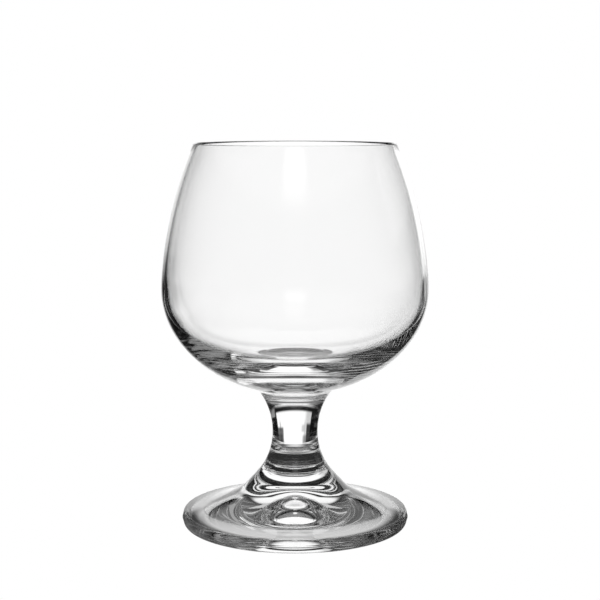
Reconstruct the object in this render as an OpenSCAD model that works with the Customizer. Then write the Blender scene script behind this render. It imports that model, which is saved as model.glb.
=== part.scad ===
// Brandy snifter in clear glass: a blown bowl on a short drawn stem and a
// pressed foot, fused hot at two seams. Every piece is turned about Z.
// The origin is the centre of the foot at table level, and Z points up.

/* [Bowl] */
// Height of the bowl from its seam with the stem to the top of the lip
bowl_h = 73.4; // [70:0.2:84]
// Widest outer diameter of the bowl
belly_d = 78; // [74:0.5:86]
// Height of the widest place above the seam
belly_h = 31.2; // [28:0.2:34]
// Height above the seam at which the curve of the underside would close
under_h = 0.4; // [0:0.1:1.2]
// Diameter of the mouth over the middle of the lip
mouth_d = 58; // [52:0.5:66]
// Thickness of the wall at the lip
lip_wall = 0.95; // [0.8:0.05:1.6]
// Inward lean of the wall at the lip, in degrees
lip_lean = 23; // [15:1:28]
// Thickness of the wall at the widest place outside
belly_wall = 1.4; // [1:0.1:2.4]
// Thickness of the solid floor above the seam
floor_h = 8; // [6:0.2:10]
// Height of the widest place inside above the floor
hollow_h = 26; // [22:0.5:29]

/* [Stem] */
// Height of the stem between its two seams
stem_h = 20; // [16:0.5:30]
// Diameter of the stem at its narrowest place
waist_d = 13.4; // [11:0.1:16]
// Height of the narrowest place above the lower seam
waist_h = 8.6; // [6:0.1:10]
// Diameter of the seam with the bowl
top_seam_d = 20.3; // [18:0.1:22]
// Diameter of the seam with the foot
low_seam_d = 17.5; // [16.5:0.1:19]

/* [Foot] */
// Height of the foot from the table to its seam with the stem
foot_h = 19; // [16:0.5:24]
// Diameter of the foot over its mould line
foot_d = 67; // [62:0.5:74]
// Thickness of the foot at the upper corner of its edge
edge_h = 4.2; // [3.4:0.1:5]
// Height of the mould line round the edge
mould_line_h = 2.2; // [1.6:0.1:2.8]
// How far the mould line stands out of the edge
mould_line_out = 0.12; // [0.05:0.01:0.3]
// How far the upper corner of the edge lies inside the mould line
edge_inset = 0.9; // [0.5:0.1:3]
// How far the flat ring that the glass rests on lies inside the mould line
rest_inset = 1.4; // [0.6:0.1:3]
// Width of the flat ring that the glass rests on
ring_w = 0.8; // [0.6:0.1:3]
// Slope of the conical hollow under the foot, in degrees
hollow_slope = 9.5; // [4:0.5:12]
// Radius of the hollow's rounded tip
hollow_tip_r = 3; // [1:0.5:10]
// Diameter of the small dent in the middle of the hollow
dent_d = 22; // [12:1:30]
// Depth of that dent
dent_rise = 1.6; // [0.4:0.1:2.4]
// Slope of the foot's upper face at its edge, in degrees
face_slope = 8; // [4:1:14]
// Diameter of the knee between the foot's cone and its disc
knee_d = 30.4; // [27:0.2:34]
// Height of that knee above the table
knee_h = 11; // [10:0.2:12.5]
// Steepness of the foot at the knee, in degrees
knee_slope = 48; // [40:1:60]

/* [Hidden] */
turn_fn = 180;
wall_steps = 20;
belly_steps = 22;
lip_steps = 8;
blend_steps = 8;
stem_steps = 14;
foot_steps = 14;
edge_steps = 6;
hollow_steps = 24;

seam_low_z = foot_h;
seam_top_z = foot_h + stem_h;
waist_z = foot_h + waist_h;
belly_z = seam_top_z + belly_h;
floor_z = seam_top_z + floor_h;
hollow_z = floor_z + hollow_h;
lip_z = seam_top_z + bowl_h - lip_wall / 2;

// How full the hollow's lower curve is: 2 is an ellipse, more is squarer
hollow_fullness = 2.45;
// Handles of the wall's curves, as shares of the height that they span
belly_handle_share = 0.1;
lip_handle_share = 0.52;
// Where the throat joins the underside, as a share of the belly's radius
throat_share = 0.38;
// Handles of the throat's curve, as a share of its span
throat_handle_share = 0.42;
// Handles of the foot's upper curves, as shares of the height or reach that they span
cone_handle_share = 0.42;
disc_handle_share = 0.45;
// Half width of the mould line's ridge, as a share of how far it stands out
mould_line_half_share = 2;
// Reach of the curve between the hollow and the flat ring
ring_blend = 0.9;
// Handles of that curve, as a share of its reach
blend_handle_share = 0.5;

// Points of a cubic curve from a to d with the control points b and c
function cubic(a, b, c, d, steps) = [
    for (i = [0:steps]) let (t = i / steps, s = 1 - t)
        s * s * s * a + 3 * s * s * t * b + 3 * s * t * t * c + t * t * t * d];

// The same curve given by its ends, a unit heading at each and two handle lengths
function headed(a, heading_a, reach_a, d, heading_d, reach_d, steps) =
    cubic(a, a + reach_a * heading_a, d - reach_d * heading_d, d, steps);

// Points along an upright ellipse about [0, z], in quarter turns from its lowest point
function oval(radius, rise, z, fullness, from, to, steps) = [
    for (i = [0:steps]) let (angle = from + (to - from) * i / steps)
        [radius * pow(max(sin(angle), 0), 2 / fullness),
         z - rise * pow(max(cos(angle), 0), 2 / fullness)]];

// Radius of the circle that is upright at the waist and passes a seam
function waist_arc_r(seam_r, rise) =
    (rise * rise + pow(seam_r - waist_d / 2, 2)) / (2 * (seam_r - waist_d / 2));

// Points along the stem's outline from the waist to a seam
function waist_arc(seam_r, rise, steps) =
    let (arc_r = waist_arc_r(seam_r, abs(rise)))
    [for (i = [0:steps]) let (z = rise * i / steps)
        [waist_d / 2 + arc_r - sqrt(arc_r * arc_r - z * z), waist_z + z]];

// Height of the hollow under the foot: a cone with a rounded tip, and a dent in its middle
function hollow_z_at(r, ring_r) =
    tan(hollow_slope) * (norm([ring_r, hollow_tip_r]) - norm([r, hollow_tip_r]))
    + dent_rise * pow(max(1 - pow(2 * r / dent_d, 2), 0), 2);

// Unit heading of the stem's outline where it passes a seam, pointing up
function seam_heading(seam_r, rise) =
    let (arc_r = waist_arc_r(seam_r, abs(rise)), side = rise / arc_r)
    [side, sqrt(1 - side * side)];

function reversed(points) = [for (i = [len(points) - 1:-1:0]) points[i]];

// The list without its first point, for joining it to one that ends there
function rest_of(points) = [for (i = [1:len(points) - 1]) points[i]];

module turned(outline) {
    rotate_extrude($fn = turn_fn) polygon(outline);
}

// Blown bowl: solid floor, wall thinning to a rounded lip
module bowl() {
    belly_r = belly_d / 2;
    hollow_r = belly_r - belly_wall;
    seam_r = top_seam_d / 2;
    up_wall = [-sin(lip_lean), cos(lip_lean)];
    out_wall = [cos(lip_lean), sin(lip_lean)];
    lip = [mouth_d / 2, lip_z];
    lip_out = lip + out_wall * lip_wall / 2;
    lip_in = lip - out_wall * lip_wall / 2;
    throat_angle = asin(throat_share);
    under_rise = belly_h - under_h;
    throat = [belly_r * sin(throat_angle), belly_z - under_rise * cos(throat_angle)];
    throat_span = norm(throat - [seam_r, seam_top_z]);
    throat_way = [belly_r * cos(throat_angle), under_rise * sin(throat_angle)];
    outer_span = lip_out[1] - belly_z;
    inner_span = lip_in[1] - hollow_z;
    blend = headed([seam_r, seam_top_z],
        seam_heading(seam_r, seam_top_z - waist_z), throat_span * throat_handle_share,
        throat, throat_way / norm(throat_way), throat_span * throat_handle_share, blend_steps);
    underside = oval(belly_r, under_rise, belly_z, 2, throat_angle, 90, belly_steps);
    outer_wall = headed([belly_r, belly_z], [0, 1], outer_span * belly_handle_share,
        lip_out, up_wall, outer_span * lip_handle_share, wall_steps);
    lip_round = [for (i = [0:lip_steps])
        lip + lip_wall / 2 * [cos(lip_lean + 180 * i / lip_steps),
                              sin(lip_lean + 180 * i / lip_steps)]];
    inner_wall = headed([hollow_r, hollow_z], [0, 1], inner_span * belly_handle_share,
        lip_in, up_wall, inner_span * lip_handle_share, wall_steps);
    hollow = oval(hollow_r, hollow_h, hollow_z, hollow_fullness, 0, 90, belly_steps);
    color("white", 0.35) turned(concat(
        [[0, seam_top_z]], blend, rest_of(underside), rest_of(outer_wall),
        rest_of(lip_round), rest_of(reversed(inner_wall)), rest_of(reversed(hollow))));
}

// Drawn stem: waisted, between the two seams
module stem() {
    upper = waist_arc(top_seam_d / 2, seam_top_z - waist_z, stem_steps);
    lower = waist_arc(low_seam_d / 2, seam_low_z - waist_z, stem_steps);
    color("gainsboro", 0.35) turned(concat(
        [[0, seam_low_z]], reversed(lower), rest_of(upper), [[0, seam_top_z]]));
}

// Pressed foot: cone and disc with a rounded edge, over a conical hollow in a flat resting ring
module foot() {
    seam_r = low_seam_d / 2;
    rest_r = foot_d / 2 - rest_inset;
    ring_r = rest_r - ring_w;
    edge = [foot_d / 2 - edge_inset, edge_h];
    knee = [knee_d / 2, knee_h];
    knee_way = [cos(knee_slope), -sin(knee_slope)];
    edge_way = [cos(face_slope), -sin(face_slope)];
    side_r = foot_d / 2 - mould_line_out;
    line_half = mould_line_half_share * mould_line_out;
    skirt_r = ring_r - ring_blend;
    skirt_way = [cos(hollow_slope), -sin(hollow_slope)];
    hollow = [for (i = [0:hollow_steps]) let (r = skirt_r * i / hollow_steps)
        [r, hollow_z_at(r, ring_r)]];
    ring_curve = headed(hollow[hollow_steps], skirt_way, ring_blend * blend_handle_share,
        [ring_r, 0], [1, 0], ring_blend * blend_handle_share, edge_steps);
    low_round = [for (i = [0:edge_steps]) let (angle = 90 * i / edge_steps)
        [rest_r + (side_r - rest_r) * sin(angle),
         (mould_line_h - line_half) * (1 - cos(angle))]];
    high_round = [for (i = [0:edge_steps]) let (angle = 90 * i / edge_steps)
        [edge[0] + (side_r - edge[0]) * cos(angle),
         mould_line_h + line_half + (edge_h - mould_line_h - line_half) * sin(angle)]];
    disc_reach = edge[0] - knee[0];
    disc = headed(knee, knee_way, (knee_h - edge_h) * cone_handle_share,
        edge, edge_way, disc_reach * disc_handle_share, foot_steps);
    cone = headed([seam_r, seam_low_z], -seam_heading(seam_r, seam_low_z - waist_z),
        (seam_low_z - knee_h) * cone_handle_share,
        knee, knee_way, (seam_low_z - knee_h) * cone_handle_share, foot_steps);
    color("whitesmoke", 0.35) turned(concat(
        hollow, rest_of(ring_curve), low_round, [[foot_d / 2, mould_line_h]], high_round,
        rest_of(reversed(disc)), rest_of(reversed(cone)), [[0, seam_low_z]]));
}

bowl();
stem();
foot();
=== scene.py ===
import bpy
import numpy as np
from math import asin, cos, hypot, pi, radians, sin, sqrt, tan
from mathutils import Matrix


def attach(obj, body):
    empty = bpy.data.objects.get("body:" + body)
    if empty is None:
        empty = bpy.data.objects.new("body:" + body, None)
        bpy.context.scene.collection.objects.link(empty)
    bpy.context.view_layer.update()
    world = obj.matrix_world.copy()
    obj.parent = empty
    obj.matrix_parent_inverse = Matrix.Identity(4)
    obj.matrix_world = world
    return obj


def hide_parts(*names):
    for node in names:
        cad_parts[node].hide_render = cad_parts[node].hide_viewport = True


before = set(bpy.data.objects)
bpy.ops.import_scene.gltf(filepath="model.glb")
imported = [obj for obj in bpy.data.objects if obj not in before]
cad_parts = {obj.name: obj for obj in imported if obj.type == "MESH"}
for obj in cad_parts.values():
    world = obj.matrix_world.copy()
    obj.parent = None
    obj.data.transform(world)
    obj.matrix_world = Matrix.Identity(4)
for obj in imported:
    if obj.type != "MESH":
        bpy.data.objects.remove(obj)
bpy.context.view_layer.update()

# The camera, where the photograph was taken: just above the lip, looking
# down at the foot, with the glass a little left of the middle of the frame.
CAMERA_AWAY = 0.4305
CAMERA_HEIGHT = 0.1235
CAMERA_RIGHT = 0.00145
CAMERA_PITCH = radians(7.52)
PHOTO_SIDE = 600
FOCAL_PIXELS = 1482
SENSOR_WIDTH = 36
NEAREST_SEEN = 0.01
camera_data = bpy.data.cameras.new("camera")
camera_data.sensor_width = SENSOR_WIDTH
camera_data.lens = SENSOR_WIDTH * FOCAL_PIXELS / PHOTO_SIDE
camera_data.clip_start = NEAREST_SEEN
camera = bpy.data.objects.new("camera", camera_data)
camera.location = (CAMERA_RIGHT, -CAMERA_AWAY, CAMERA_HEIGHT)
camera.rotation_euler = (pi / 2 - CAMERA_PITCH, 0, 0)
bpy.context.scene.collection.objects.link(camera)
bpy.context.scene.camera = camera
bpy.context.view_layer.update()

# The table under the glass, which only the glass sees: it glows pale, with painted shadow on it,
# a dark oval behind the middle of the foot and a dark ring under the foot's edge, and bare white
# beyond that ring, in front of the glass and behind it.
WHITE = (1.0, 1.0, 1.0, 1.0)
TABLE_RADIUS = 0.05
TABLE_DROP = 0.00002
TABLE_GREY = 0.62
# Painted shadow on the table: the dark oval under the middle of the foot and the dark ring under its edge.
OVAL_HALF_WIDTH = 0.015
OVAL_HALF_DEPTH = 0.018
OVAL_BEHIND_SHARE = 1.15
OVAL_EDGE_SHARES = (1.15, 0.85)
OVAL_SHADOW_DARKENING = 0.6
DARK_RING = (0.0285, 0.044)
DARK_RING_SOFT = 0.0015
SHADOW_RING_DARKENING = 0.88
BARE_FROM = 0.041
BARE_FULL = 0.046
BARE_HALF_WIDTH = 0.026
BARE_SOFT = 0.014


class Wire:
    """One socket in a node tree. Arithmetic on it adds Math nodes, and node() adds any other."""

    def __init__(self, tree, socket=None):
        self.tree, self.socket = tree, socket

    def node(self, kind, inputs=(), output=0, **settings):
        """Adds a node, sets its settings, then its sockets from (name, value or Wire) pairs."""
        made = self.tree.nodes.new(kind)
        for name, value in settings.items():
            setattr(made, name, value)
        for name, value in inputs:
            if isinstance(value, Wire):
                self.tree.links.new(value.socket, made.inputs[name])
            else:
                made.inputs[name].default_value = value
        return Wire(self.tree, made.outputs[output]) if made.outputs else made

    def math(self, operation, *values):
        """A Math node on these values, in their order."""
        return self.node("ShaderNodeMath", list(enumerate(values)), operation=operation)

    def __add__(self, other):
        return self.math("ADD", self, other)

    __radd__ = __add__

    def __sub__(self, other):
        return self.math("SUBTRACT", self, other)

    def __rsub__(self, other):
        return self.math("SUBTRACT", other, self)

    def __mul__(self, other):
        return self.math("MULTIPLY", self, other)

    __rmul__ = __mul__

    def __truediv__(self, other):
        return self.math("DIVIDE", self, other)

    def __rtruediv__(self, other):
        return self.math("DIVIDE", other, self)

    def ramp(self, low, high):
        """0 below low, 1 above high and smooth between; falls where low is above high."""
        pairs = [("Value", self), ("From Min", low), ("From Max", high)]
        if low > high:
            pairs = [("Value", self), ("From Min", high), ("From Max", low)]
            pairs += [("To Min", 1.0), ("To Max", 0.0)]
        return self.node("ShaderNodeMapRange", pairs, interpolation_type="SMOOTHSTEP")

    def band(self, low, high, soft):
        """1 between low and high, falling to 0 over the soft margin on each side."""
        return self.ramp(low - soft, low + soft) * self.ramp(high + soft, high - soft)


def shader_tree(name, owner=None):
    """A cleared node tree of a new material, or of the world given, as a bare Wire."""
    holder = owner or bpy.data.materials.new(name)
    holder.use_nodes = True
    holder.node_tree.nodes.clear()
    return holder, Wire(holder.node_tree)


def split_vector(vector):
    """The three components of a vector."""
    parts = vector.node("ShaderNodeSeparateXYZ", [(0, vector)])
    return [Wire(parts.tree, output) for output in parts.socket.node.outputs]


def disc_mesh(name, radius, height, around=96):
    """A flat disc: (radius * cos b, radius * sin b, height)."""
    b = np.arange(around) * 2 * pi / around
    points = np.stack([radius * np.cos(b), radius * np.sin(b), np.full(around, height)], -1)
    mesh = bpy.data.meshes.new(name)
    mesh.from_pydata(points.tolist(), [], [list(range(around))])
    return mesh


table_painted_shadow, wire = shader_tree("table_glow_and_painted_shadow")
place = wire.node("ShaderNodeTexCoord", output="Object")
away = wire.node("ShaderNodeVectorMath", [(0, place)], output="Value", operation="LENGTH")
squeeze = (1 / OVAL_HALF_WIDTH, 1 / OVAL_HALF_DEPTH, 0)
squeezed = wire.node("ShaderNodeVectorMath", [(0, place), (1, squeeze)], operation="MULTIPLY")
from_oval = [(0, squeezed), (1, (0, OVAL_BEHIND_SHARE, 0))]
spot = wire.node("ShaderNodeVectorMath", from_oval, output="Value", operation="DISTANCE")
# Painted shadow: the table glows darker in an oval under the middle of the foot and in a ring under its
# edge.
shade = TABLE_GREY - spot.ramp(*OVAL_EDGE_SHARES) * OVAL_SHADOW_DARKENING
shade = shade * (1.0 - away.band(*DARK_RING, DARK_RING_SOFT) * SHADOW_RING_DARKENING)
aside = split_vector(place)[0]
bare = away.ramp(BARE_FROM, BARE_FULL) * aside.band(-BARE_HALF_WIDTH, BARE_HALF_WIDTH, BARE_SOFT)
table_light = shade * away.ramp(BARE_FULL, BARE_FROM) + bare
lit = wire.node("ShaderNodeEmission", [("Color", WHITE), ("Strength", table_light)])
wire.node("ShaderNodeOutputMaterial", [("Surface", lit)])
table = bpy.data.objects.new("table", disc_mesh("table", TABLE_RADIUS, -TABLE_DROP))
table.data.materials.append(table_painted_shadow)
bpy.context.scene.collection.objects.link(table)
table.visible_camera = False

# The backdrop: plain white to the camera and black to the glass, whose light
# comes from the tent and the table alone.
world = bpy.data.worlds.new("studio")
bpy.context.scene.world = world
_, wire = shader_tree("studio", world)
direct = wire.node("ShaderNodeLightPath", output="Is Camera Ray")
sky = wire.node("ShaderNodeBackground", [("Color", WHITE), ("Strength", direct)])
wire.node("ShaderNodeOutputWorld", [("Surface", sky)])

# The light tent round the glass, which only the glass sees and which turns with the camera:
# a white sheet behind with dark gaps low at both sides, soft lights above, beside and in
# front, and black cloth everywhere else, which gives the glass its dark lines.
TENT_RADIUS = 1.5
TENT_MIDDLE = 0.056
SHEET_SIDES = (-30, 37)
SHEET_SOFT = 1
SHEET_TOP = (16, 11)
SHEET_LIGHT = 1.1
DIM_SIDE = (-14, -22)
DIM_SIDE_DARKENING = 0.45
DUSK_SIDES = (-14, 24)
DUSK_SOFT = 2
DUSK_BOTTOM = (-14, -20)
DUSK_DARKENING = 0.6
TOP_LIGHT = 0.85
TOP_LIGHT_SIDES = (45, 15)
TOP_LIGHT_HEIGHTS = (25, 60)
TOP_LIGHT_SOFT = 4
ROOF_LIGHT = 0.2
ROOF_BOTTOM = (24, 32)
CLOTH_LIGHT = 0.006


def ball_mesh(name, radius, middle, rings=48, around=96):
    """A sphere: radius * (sin a * cos b, sin a * sin b, cos a) about (0, 0, middle)."""
    a, b = np.meshgrid(np.linspace(0, pi, rings + 1), np.arange(around) * 2 * pi / around, indexing="ij")
    points = np.stack([np.sin(a) * np.cos(b), np.sin(a) * np.sin(b), np.cos(a)], -1) * radius
    points[..., 2] += middle
    index = np.arange((rings + 1) * around).reshape(rings + 1, around)
    after = np.roll(index, -1, 1)
    quads = np.stack([index[:-1], index[1:], after[1:], after[:-1]], -1).reshape(-1, 4)
    mesh = bpy.data.meshes.new(name)
    mesh.from_pydata(points.reshape(-1, 3).tolist(), [], quads.tolist())
    return mesh


def patch(turn, rise, amount, turns, turn_soft, rises, rise_soft):
    """An amount inside a patch between two turns and two rises, falling to 0 over soft margins."""
    return turn.band(*turns, turn_soft) * rise.band(*rises, rise_soft) * amount


def gap(turn, rise, amount, turns, turn_soft, top):
    """An amount between two turns, growing downwards from 0 at the top's first rise to its second."""
    return turn.band(*turns, turn_soft) * rise.ramp(*top) * amount


tent_finish, wire = shader_tree("tent_sheets")
across, deep, high = split_vector(wire.node("ShaderNodeTexCoord", output="Object"))
# In degrees, turn is to the right of straight behind the glass, and rise is up from level.
turn = wire.math("ARCTAN2", across, deep) * (180 / pi)
rise = wire.math("ARCSINE", (high - TENT_MIDDLE) / TENT_RADIUS) * (180 / pi)
off_axis = wire.math("ABSOLUTE", turn)
# What the gaps, narrow streaks and a fold take away from the sheet.
low_left = gap(turn, rise, amount=0.93, turns=(-40, -21), turn_soft=1.2, top=(-1, -6))
low_left = low_left + gap(turn, rise, amount=0.5, turns=(-18, -17), turn_soft=1.5, top=(2, -4))
low_right = gap(turn, rise, amount=0.5, turns=(27.5, 30), turn_soft=1.2, top=(2, -4))
far_low_right = gap(turn, rise, amount=0.85, turns=(22, 45), turn_soft=1.5, top=(-6, -10))
fold = patch(turn, rise, amount=0.4, turns=(-17, -12), turn_soft=2.5, rises=(-13, -5), rise_soft=2)
# The sheet itself, dimmer at its left side and at the foot of both sides.
sheet = turn.band(*SHEET_SIDES, SHEET_SOFT) * (1.0 - low_left) * (1.0 - low_right) * (1.0 - far_low_right)
sheet = sheet * (1.0 - fold) * rise.ramp(*SHEET_TOP)
sheet = sheet * (SHEET_LIGHT - turn.ramp(*DIM_SIDE) * DIM_SIDE_DARKENING)
dusk = rise.ramp(*DUSK_BOTTOM) * (1.0 - turn.band(*DUSK_SIDES, DUSK_SOFT)) * DUSK_DARKENING
# The light over the sheet, the faint roof, and the high and low strips of the two side walls.
top_light = off_axis.ramp(*TOP_LIGHT_SIDES) * rise.band(*TOP_LIGHT_HEIGHTS, TOP_LIGHT_SOFT) * TOP_LIGHT
roof = rise.ramp(*ROOF_BOTTOM) * ROOF_LIGHT
right_high = patch(turn, rise, amount=0.3, turns=(42, 85), turn_soft=3, rises=(8, 26), rise_soft=1.5)
right_low = patch(turn, rise, amount=0.2, turns=(60, 110), turn_soft=5, rises=(-2.5, 1.5), rise_soft=0.8)
left_high = patch(turn, rise, amount=0.05, turns=(-85, -60), turn_soft=5, rises=(14, 24), rise_soft=1.5)
left_low = patch(turn, rise, amount=0.06, turns=(-85, -45), turn_soft=4, rises=(-8, -1), rise_soft=1)
# The soft window high behind the camera, which the front of the bowl mirrors.
window = patch(off_axis, rise, amount=0.96, turns=(168, 190), turn_soft=5, rises=(30, 56), rise_soft=8)
walls = right_high + right_low + left_high + left_low
glow = sheet * (1.0 - dusk) + top_light + walls + roof + window + CLOTH_LIGHT
lit = wire.node("ShaderNodeEmission", [("Color", WHITE), ("Strength", glow)])
wire.node("ShaderNodeOutputMaterial", [("Surface", lit)])
tent = bpy.data.objects.new("tent", ball_mesh("tent", TENT_RADIUS, TENT_MIDDLE))
tent.data.materials.append(tent_finish)
bpy.context.scene.collection.objects.link(tent)
tent.visible_camera = False
tent.parent = camera
tent.matrix_parent_inverse = camera.matrix_world.inverted()

# The bowl: a gather of clear soda glass blown in a paste mould, thick in its
# floor and thin at the lip, which is cut and fire-polished round.
BOWL_HEIGHT = 0.0734
SEAM_TOP = 0.039
BELLY_RADIUS = 0.039
BELLY_RISE = 0.0312
UNDER_RISE = 0.0004
MOUTH_RADIUS = 0.029
LIP_WALL = 0.00095
LIP_LEAN = radians(23)
BELLY_WALL = 0.0014
FLOOR_RISE = 0.008
HOLLOW_RISE = 0.026
# How full an oval is: 2 is an ellipse, and more is squarer.
UNDER_FULLNESS = 2
HOLLOW_FULLNESS = 2.45
TOP_SEAM_RADIUS = 0.01015
WAIST_RADIUS = 0.0067
SEAM_LOW = 0.019
WAIST_HEIGHT = SEAM_LOW + 0.0086
# Where the throat ends, as a share of the belly's radius, and the handles of the bowl's
# curves, as shares of what each curve spans.
THROAT_SHARE = 0.38
THROAT_HANDLE_SHARE = 0.42
BELLY_HANDLE_SHARE = 0.1
LIP_HANDLE_SHARE = 0.52
THROAT_STEPS = 40
UNDER_STEPS = 44
WALL_STEPS = 24
LIP_STEPS = 12
FLOOR_STEPS = 64
AROUND = 384
GLASS_IOR = 1.52
SEAM_TOLERANCE = 1e-7
# Waves of the marks low inside the bowl, in radians of wave to a radian of angle, and how
# much of a wrinkle's depth goes where it fades.
WRINKLE_WAVES = 140
WRINKLE_WANDER = 4
WRINKLE_FADING = 0.7
TICK_WAVES = 120
TICK_SLANT = 60
TICK_WANDER = 14


def cubic(a, b, c, d, steps):
    """The cubic curve s^3 a + 3 s^2 t b + 3 s t^2 c + t^3 d, with s = 1 - t, for t from 0 to 1."""
    t = np.linspace(0, 1, steps + 1)[:, None]
    s = 1 - t
    a, b, c, d = (np.asarray(p, float) for p in (a, b, c, d))
    return s**3 * a + 3 * s**2 * t * b + 3 * s * t**2 * c + t**3 * d


def headed(a, way_a, reach_a, d, way_d, reach_d, steps):
    """A cubic curve from a to d that leaves along way_a and arrives along way_d."""
    a, d, way_a, way_d = (np.asarray(p, float) for p in (a, d, way_a, way_d))
    return cubic(a, a + reach_a * way_a, d - reach_d * way_d, d, steps)


def oval(radius, rise, height, fullness, low, high, steps):
    """Part of an upright oval about (0, height): radius * sin^(2/n), height - rise * cos^(2/n)."""
    angle = np.linspace(low, high, steps + 1)
    across = radius * np.clip(np.sin(angle), 0, 1) ** (2 / fullness)
    down = rise * np.clip(np.cos(angle), 0, 1) ** (2 / fullness)
    return np.stack([across, height - down], -1)


def waist_circle(seam_radius, rise):
    """Radius of the circle that is upright at the waist and passes a seam: with out the seam's
    radius less the waist's, (rise^2 + out^2) / (2 * out)."""
    out = seam_radius - WAIST_RADIUS
    return (rise**2 + out**2) / (2 * out)


def seam_way(seam_radius, rise):
    """The upward heading of that circle at the seam: (rise / radius, sqrt(1 - (rise / radius)^2))."""
    side = rise / waist_circle(seam_radius, rise)
    return np.array([side, sqrt(1 - side**2)])


def turned_mesh(name, outline, around, seams):
    """A closed solid of revolution: (r cos b, r sin b, z) for each (r, z) of the outline, which
    starts and ends on the axis. Faces wholly at a seam's height get the second material slot."""
    outline = np.asarray(outline, float)
    ring = outline[1:-1]
    b = np.arange(around) * 2 * pi / around
    r, z = np.repeat(ring[:, :1], around, 1), np.repeat(ring[:, 1:], around, 1)
    points = np.stack([r * np.cos(b), r * np.sin(b), z], -1)
    poles = [[0, 0, outline[0, 1]], [0, 0, outline[-1, 1]]]
    vertices = np.vstack([points.reshape(-1, 3), poles])
    index = np.arange(len(ring) * around).reshape(len(ring), around)
    after = np.roll(index, -1, 1)
    quads = np.stack([index[:-1], after[:-1], after[1:], index[1:]], -1).reshape(-1, 4)
    first, last = len(ring) * around, len(ring) * around + 1
    low_fan = np.stack([np.full(around, first), after[0], index[0]], -1)
    high_fan = np.stack([np.full(around, last), index[-1], after[-1]], -1)
    mesh = bpy.data.meshes.new(name)
    mesh.from_pydata(vertices.tolist(), [], quads.tolist() + low_fan.tolist() + high_fan.tolist())
    at_seam = np.abs(vertices[:, 2:] - np.array(seams)) < SEAM_TOLERANCE
    on_seam = np.concatenate([at_seam[faces].all(1).any(1) for faces in (quads, low_fan, high_fan)])
    mesh.polygons.foreach_set("material_index", on_seam.astype(np.int32))
    mesh.polygons.foreach_set("use_smooth", ~on_seam)
    mesh.update()
    return mesh


def clear_glass(name, relief):
    """Colourless soda glass. relief(wire) gives the height of its fine surface marks, in metres."""
    finish, wire = shader_tree(name)
    marks = wire.node("ShaderNodeBump", [("Strength", 1.0), ("Distance", 1.0), ("Height", relief(wire))])
    surface = wire.node("ShaderNodeBsdfPrincipled", [
        ("Base Color", WHITE), ("Roughness", 0.0), ("IOR", GLASS_IOR), ("Transmission Weight", 1.0),
        ("Normal", marks)])
    wire.node("ShaderNodeOutputMaterial", [("Surface", surface)])
    return finish


def fused_seam():
    """The face where two gathers were fused: light passes straight on."""
    finish, wire = shader_tree("fused_seam")
    surface = wire.node("ShaderNodeBsdfTransparent", [("Color", WHITE)])
    wire.node("ShaderNodeOutputMaterial", [("Surface", surface)])
    return finish


fused = fused_seam()


def glass_piece(name, outline, around, seams, slot, relief):
    """A turned piece of glass, with its own finish first and the fused seam's second."""
    mesh = turned_mesh(name, outline, around, seams)
    piece = bpy.data.objects.new(name, mesh)
    mesh.materials.append(clear_glass(slot, relief))
    mesh.materials.append(fused)
    bpy.context.scene.collection.objects.link(piece)
    return piece


def noise(across, along, stretch, shift=0.0, detail=0.0):
    """Noise over two coordinates times their stretch, about 0 and mostly within 0.5 of it."""
    spot = across.node("ShaderNodeCombineXYZ", [
        (0, across * stretch[0]), (1, along * stretch[1]), (2, shift)])
    grain = across.node("ShaderNodeTexNoise", [
        ("Vector", spot), ("Scale", 1.0), ("Detail", detail)], output="Fac")
    return grain - 0.5


def bowl_relief(wire):
    """Fine marks low inside the bowl, where the hot glass was chilled: sine waves up the wall that
    wander and fade in places, in a patch at each side of the floor, and short slanting ticks above
    the right patch. b is the angle round the axis from the front, to the right, and climb the angle
    from straight down, seen from the middle of the hollow, both in radians. Amounts are depths."""
    x, y, z = split_vector(wire.node("ShaderNodeTexCoord", output="Object"))
    b = wire.math("ARCTAN2", x, 0.0 - y)
    r = wire.math("SQRT", x * x + y * y)
    across = wire.math("POWER", r / hollow_radius, HOLLOW_FULLNESS)
    down = wire.math("POWER", wire.math("ABSOLUTE", hollow_height - z) / HOLLOW_RISE, HOLLOW_FULLNESS)
    # The oval's sum is 1 on the inside of the wall and more on its outside.
    inside = (across + down).ramp(1.05, 1.02)
    climb = wire.math("ARCTAN2", r, hollow_height - z)
    left = patch(b, climb, amount=0.00006, turns=(-1.35, -0.6), turn_soft=0.1,
                 rises=(0.62, 1.0), rise_soft=0.06)
    right = patch(b, climb, amount=0.00012, turns=(0.55, 1.4), turn_soft=0.2,
                  rises=(0.65, 0.95), rise_soft=0.06)
    above_right = patch(b, climb, amount=0.00003, turns=(0.85, 1.3), turn_soft=0.06,
                        rises=(1.1, 1.24), rise_soft=0.03)
    # Only the crests of the waves stand out.
    wander = noise(b, climb, stretch=(3, 6)) * WRINKLE_WANDER
    lines = wire.math("SINE", climb * WRINKLE_WAVES + wander).ramp(0.3, 1.0)
    fading = 1.0 - noise(b, climb, stretch=(4, 6), shift=5.0).ramp(-0.02, 0.15) * WRINKLE_FADING
    wander = noise(b, climb, stretch=(9, 3), shift=9.0) * TICK_WANDER
    ticks = wire.math("SINE", b * TICK_WAVES + climb * TICK_SLANT + wander).ramp(0.6, 1.0)
    broken = noise(b, climb, stretch=(30, 16), shift=3.0).ramp(-0.08, 0.12)
    return (lines * fading * (left + right) + ticks * broken * above_right) * inside


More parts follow.
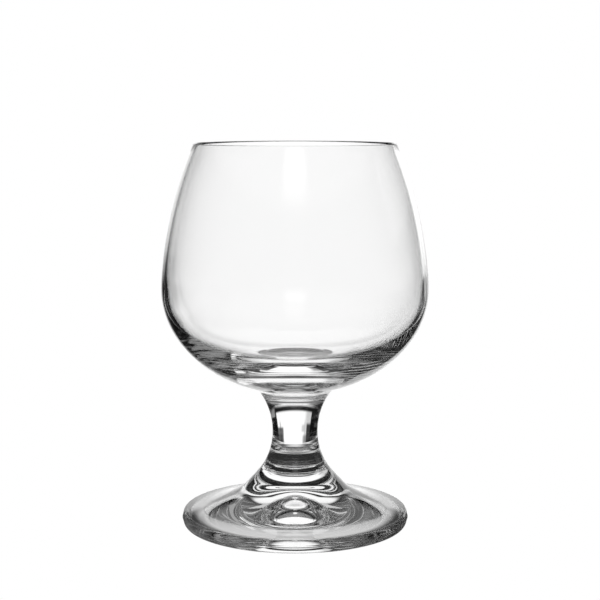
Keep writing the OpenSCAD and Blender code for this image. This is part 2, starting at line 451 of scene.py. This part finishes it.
belly_height = SEAM_TOP + BELLY_RISE
hollow_radius = BELLY_RADIUS - BELLY_WALL
hollow_height = SEAM_TOP + FLOOR_RISE + HOLLOW_RISE
lip = np.array([MOUTH_RADIUS, SEAM_TOP + BOWL_HEIGHT - LIP_WALL / 2])
up_wall = np.array([-sin(LIP_LEAN), cos(LIP_LEAN)])
out_wall = np.array([cos(LIP_LEAN), sin(LIP_LEAN)])
lip_out, lip_in = lip + out_wall * LIP_WALL / 2, lip - out_wall * LIP_WALL / 2
throat_angle = asin(THROAT_SHARE)
under_rise = BELLY_RISE - UNDER_RISE
throat = np.array([BELLY_RADIUS * sin(throat_angle), belly_height - under_rise * cos(throat_angle)])
throat_way = np.array([BELLY_RADIUS * cos(throat_angle), under_rise * sin(throat_angle)])
throat_way /= hypot(*throat_way)
throat_reach = hypot(throat[0] - TOP_SEAM_RADIUS, throat[1] - SEAM_TOP) * THROAT_HANDLE_SHARE
outer_span, inner_span = lip_out[1] - belly_height, lip_in[1] - hollow_height
lip_angle = np.linspace(0, pi, LIP_STEPS + 1)[1:-1, None] + LIP_LEAN
bowl_outline = np.vstack([
    [[0, SEAM_TOP]],
    headed([TOP_SEAM_RADIUS, SEAM_TOP], seam_way(TOP_SEAM_RADIUS, SEAM_TOP - WAIST_HEIGHT), throat_reach,
           throat, throat_way, throat_reach, THROAT_STEPS),
    oval(BELLY_RADIUS, under_rise, belly_height, UNDER_FULLNESS, throat_angle, pi / 2, UNDER_STEPS)[1:],
    headed([BELLY_RADIUS, belly_height], [0, 1], outer_span * BELLY_HANDLE_SHARE,
           lip_out, up_wall, outer_span * LIP_HANDLE_SHARE, WALL_STEPS)[1:],
    lip + LIP_WALL / 2 * np.hstack([np.cos(lip_angle), np.sin(lip_angle)]),
    headed([hollow_radius, hollow_height], [0, 1], inner_span * BELLY_HANDLE_SHARE,
           lip_in, up_wall, inner_span * LIP_HANDLE_SHARE, WALL_STEPS)[::-1],
    oval(hollow_radius, HOLLOW_RISE, hollow_height, HOLLOW_FULLNESS, 0, pi / 2, FLOOR_STEPS)[::-1][1:],
])
bowl = glass_piece("clear_bowl", bowl_outline, AROUND, [SEAM_TOP], "bowl_glass", bowl_relief)
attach(bowl, "root")
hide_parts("bowl")

# The stem: a short gather drawn down to a waist while hot, solid all through,
# and fused to the bowl above and the foot below, where fine tool rings stay.
LOW_SEAM_RADIUS = 0.00875
UPPER_STEPS = 60
LOWER_STEPS = 80
STEM_RINGS_RISE = 0.004
STEM_RING_DEPTH = 0.000012
STEM_RING_PITCH = 0.0009
SECOND_WAVE_SHARE = 0.4
SECOND_PITCH_SHARE = 0.58
FLOW_PITCH = 0.006
FLOW_DEPTH = 0.000002


def waist_arc(seam_radius, rise, steps):
    """Points of the waist's circle, from the waist to a seam: at a height z from the waist,
    the waist's radius + circle - sqrt(circle^2 - z^2)."""
    circle = waist_circle(seam_radius, rise)
    z = np.linspace(0, rise, steps + 1)
    return np.stack([WAIST_RADIUS + circle - np.sqrt(circle**2 - z**2), WAIST_HEIGHT + z], -1)


def normals(outline):
    """Unit normals of an outline, to the right of the way it runs, which is out of the glass."""
    way = np.gradient(outline, axis=0)
    way /= np.hypot(way[:, 0], way[:, 1])[:, None]
    return np.stack([way[:, 1], -way[:, 0]], -1)


def tool_rings(outline, low, high, depth, pitch):
    """An outline with fine turned rings between two heights: two sine waves along its length,
    the second shorter and weaker, moved out along the normal and faded at both ends."""
    along = np.concatenate([[0], np.cumsum(np.hypot(*np.diff(outline, axis=0).T))])
    fade = np.clip((outline[:, 1] - low) / pitch, 0, 1) * np.clip((high - outline[:, 1]) / pitch, 0, 1)
    wave = (1 - SECOND_WAVE_SHARE) * np.sin(2 * pi * along / pitch)
    wave += SECOND_WAVE_SHARE * np.sin(2 * pi * along / (SECOND_PITCH_SHARE * pitch) + 1)
    return outline + normals(outline) * (depth * fade * wave)[:, None]


def plain_relief(wire):
    """The faint, slow flow of a fire-polished surface: noise over its plan."""
    x, y, z = split_vector(wire.node("ShaderNodeTexCoord", output="Object"))
    return noise(x, y, stretch=(1 / FLOW_PITCH, 1 / FLOW_PITCH), shift=1.0, detail=1.0) * FLOW_DEPTH


upper = waist_arc(TOP_SEAM_RADIUS, SEAM_TOP - WAIST_HEIGHT, UPPER_STEPS)
lower = waist_arc(LOW_SEAM_RADIUS, SEAM_LOW - WAIST_HEIGHT, LOWER_STEPS)
stem_side = tool_rings(np.vstack([lower[::-1], upper[1:]]),
                       SEAM_LOW, SEAM_LOW + STEM_RINGS_RISE, STEM_RING_DEPTH, STEM_RING_PITCH)
stem_outline = np.vstack([[[0, SEAM_LOW]], stem_side, [[0, SEAM_TOP]]])
stem = glass_piece("drawn_stem", stem_outline, AROUND, [SEAM_LOW, SEAM_TOP], "stem_glass", plain_relief)
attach(stem, "root")
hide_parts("stem")

# The foot: pressed in a mould that leaves a fine line round its edge, with a shallow
# conical hollow and a dent underneath, and fire-polished so that it rests on a smooth ring.
FOOT_RADIUS = 0.0335
MOULD_LINE_OUT = 0.0002
MOULD_LINE_HALF_SHARE = 1.5
MOULD_LINE_HEIGHT = 0.0022
EDGE = np.array([0.0326, 0.0042])
EDGE_SLOPE = radians(8)
KNEE = np.array([0.0152, 0.011])
KNEE_SLOPE = radians(48)
REST_RADIUS = 0.0321
RING_RADIUS = 0.0313
RING_BLEND = 0.0009
# A last ring of points on the flat, so that the rounding beside it doesn't bend its shading.
FLAT_MARGIN = 0.0002
HOLLOW_SLOPE = radians(9.5)
HOLLOW_TIP_RADIUS = 0.003
DENT_RADIUS = 0.011
DENT_RISE = 0.0016
# The handles of the foot's curves, as shares of the heights or reaches that they span.
CONE_HANDLE_SHARE = 0.42
DISC_HANDLE_SHARE = 0.45
BLEND_HANDLE_SHARE = 0.5
CONE_RINGS_LOW = 0.016
CONE_RING_DEPTH = 0.000008
CONE_RING_PITCH = 0.0008
HOLLOW_STEPS = 80
BLEND_STEPS = 12
EDGE_STEPS = 30
CONE_STEPS = 100
DISC_STEPS = 50
FOOT_AROUND = 320


def underside(r):
    """Height of the foot's underside: a shallow cone with a round tip, and a dent in its middle.
    slope * (hypot(ring, tip) - hypot(r, tip)) + dent * (1 - (r / dent_radius)^2)^2."""
    drop = np.hypot(RING_RADIUS, HOLLOW_TIP_RADIUS) - np.hypot(r, HOLLOW_TIP_RADIUS)
    return tan(HOLLOW_SLOPE) * drop + DENT_RISE * np.clip(1 - (r / DENT_RADIUS) ** 2, 0, 1) ** 2


def downhill(slope):
    """The heading of an outline that runs outwards and down at a slope: (cos slope, -sin slope)."""
    return np.array([cos(slope), -sin(slope)])


r = np.linspace(0, RING_RADIUS - RING_BLEND, HOLLOW_STEPS + 1)
hollow = np.stack([r, underside(r)], -1)
blend_reach = RING_BLEND * BLEND_HANDLE_SHARE
blend = headed(hollow[-1], downhill(HOLLOW_SLOPE), blend_reach,
               [RING_RADIUS, 0], [1, 0], blend_reach, BLEND_STEPS)[1:]
side = FOOT_RADIUS - MOULD_LINE_OUT
line_half = MOULD_LINE_HALF_SHARE * MOULD_LINE_OUT
line_low, line_high = MOULD_LINE_HEIGHT - line_half, MOULD_LINE_HEIGHT + line_half
quarter = np.linspace(0, pi / 2, EDGE_STEPS + 1)
low_round = np.stack([REST_RADIUS + (side - REST_RADIUS) * np.sin(quarter),
                      line_low * (1 - np.cos(quarter))], -1)
high_round = np.stack([EDGE[0] + (side - EDGE[0]) * np.cos(quarter),
                       line_high + (EDGE[1] - line_high) * np.sin(quarter)], -1)
cone_reach = (SEAM_LOW - KNEE[1]) * CONE_HANDLE_SHARE
cone = headed([LOW_SEAM_RADIUS, SEAM_LOW], -seam_way(LOW_SEAM_RADIUS, SEAM_LOW - WAIST_HEIGHT), cone_reach,
              KNEE, downhill(KNEE_SLOPE), cone_reach, CONE_STEPS)
disc = headed(KNEE, downhill(KNEE_SLOPE), (KNEE[1] - EDGE[1]) * CONE_HANDLE_SHARE,
              EDGE, downhill(EDGE_SLOPE), (EDGE[0] - KNEE[0]) * DISC_HANDLE_SHARE, DISC_STEPS)
upper_side = tool_rings(np.vstack([disc[::-1][1:], cone[::-1][1:]]),
                        CONE_RINGS_LOW, SEAM_LOW, CONE_RING_DEPTH, CONE_RING_PITCH)
foot_outline = np.vstack([
    hollow, blend, [[REST_RADIUS - FLAT_MARGIN, 0]], low_round,
    [[FOOT_RADIUS, MOULD_LINE_HEIGHT]], high_round, upper_side, [[0, SEAM_LOW]],
])
foot = glass_piece("pressed_foot", foot_outline, FOOT_AROUND, [SEAM_LOW], "foot_glass", plain_relief)
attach(foot, "root")
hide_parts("foot")

# Light runs round many times inside thick glass before it leaves.
INNER_BOUNCES = 48
paths = bpy.context.scene.cycles
paths.max_bounces = INNER_BOUNCES
paths.glossy_bounces = INNER_BOUNCES
paths.transmission_bounces = INNER_BOUNCES
paths.transparent_max_bounces = INNER_BOUNCES
bpy.context.scene.view_settings.view_transform = "Standard"
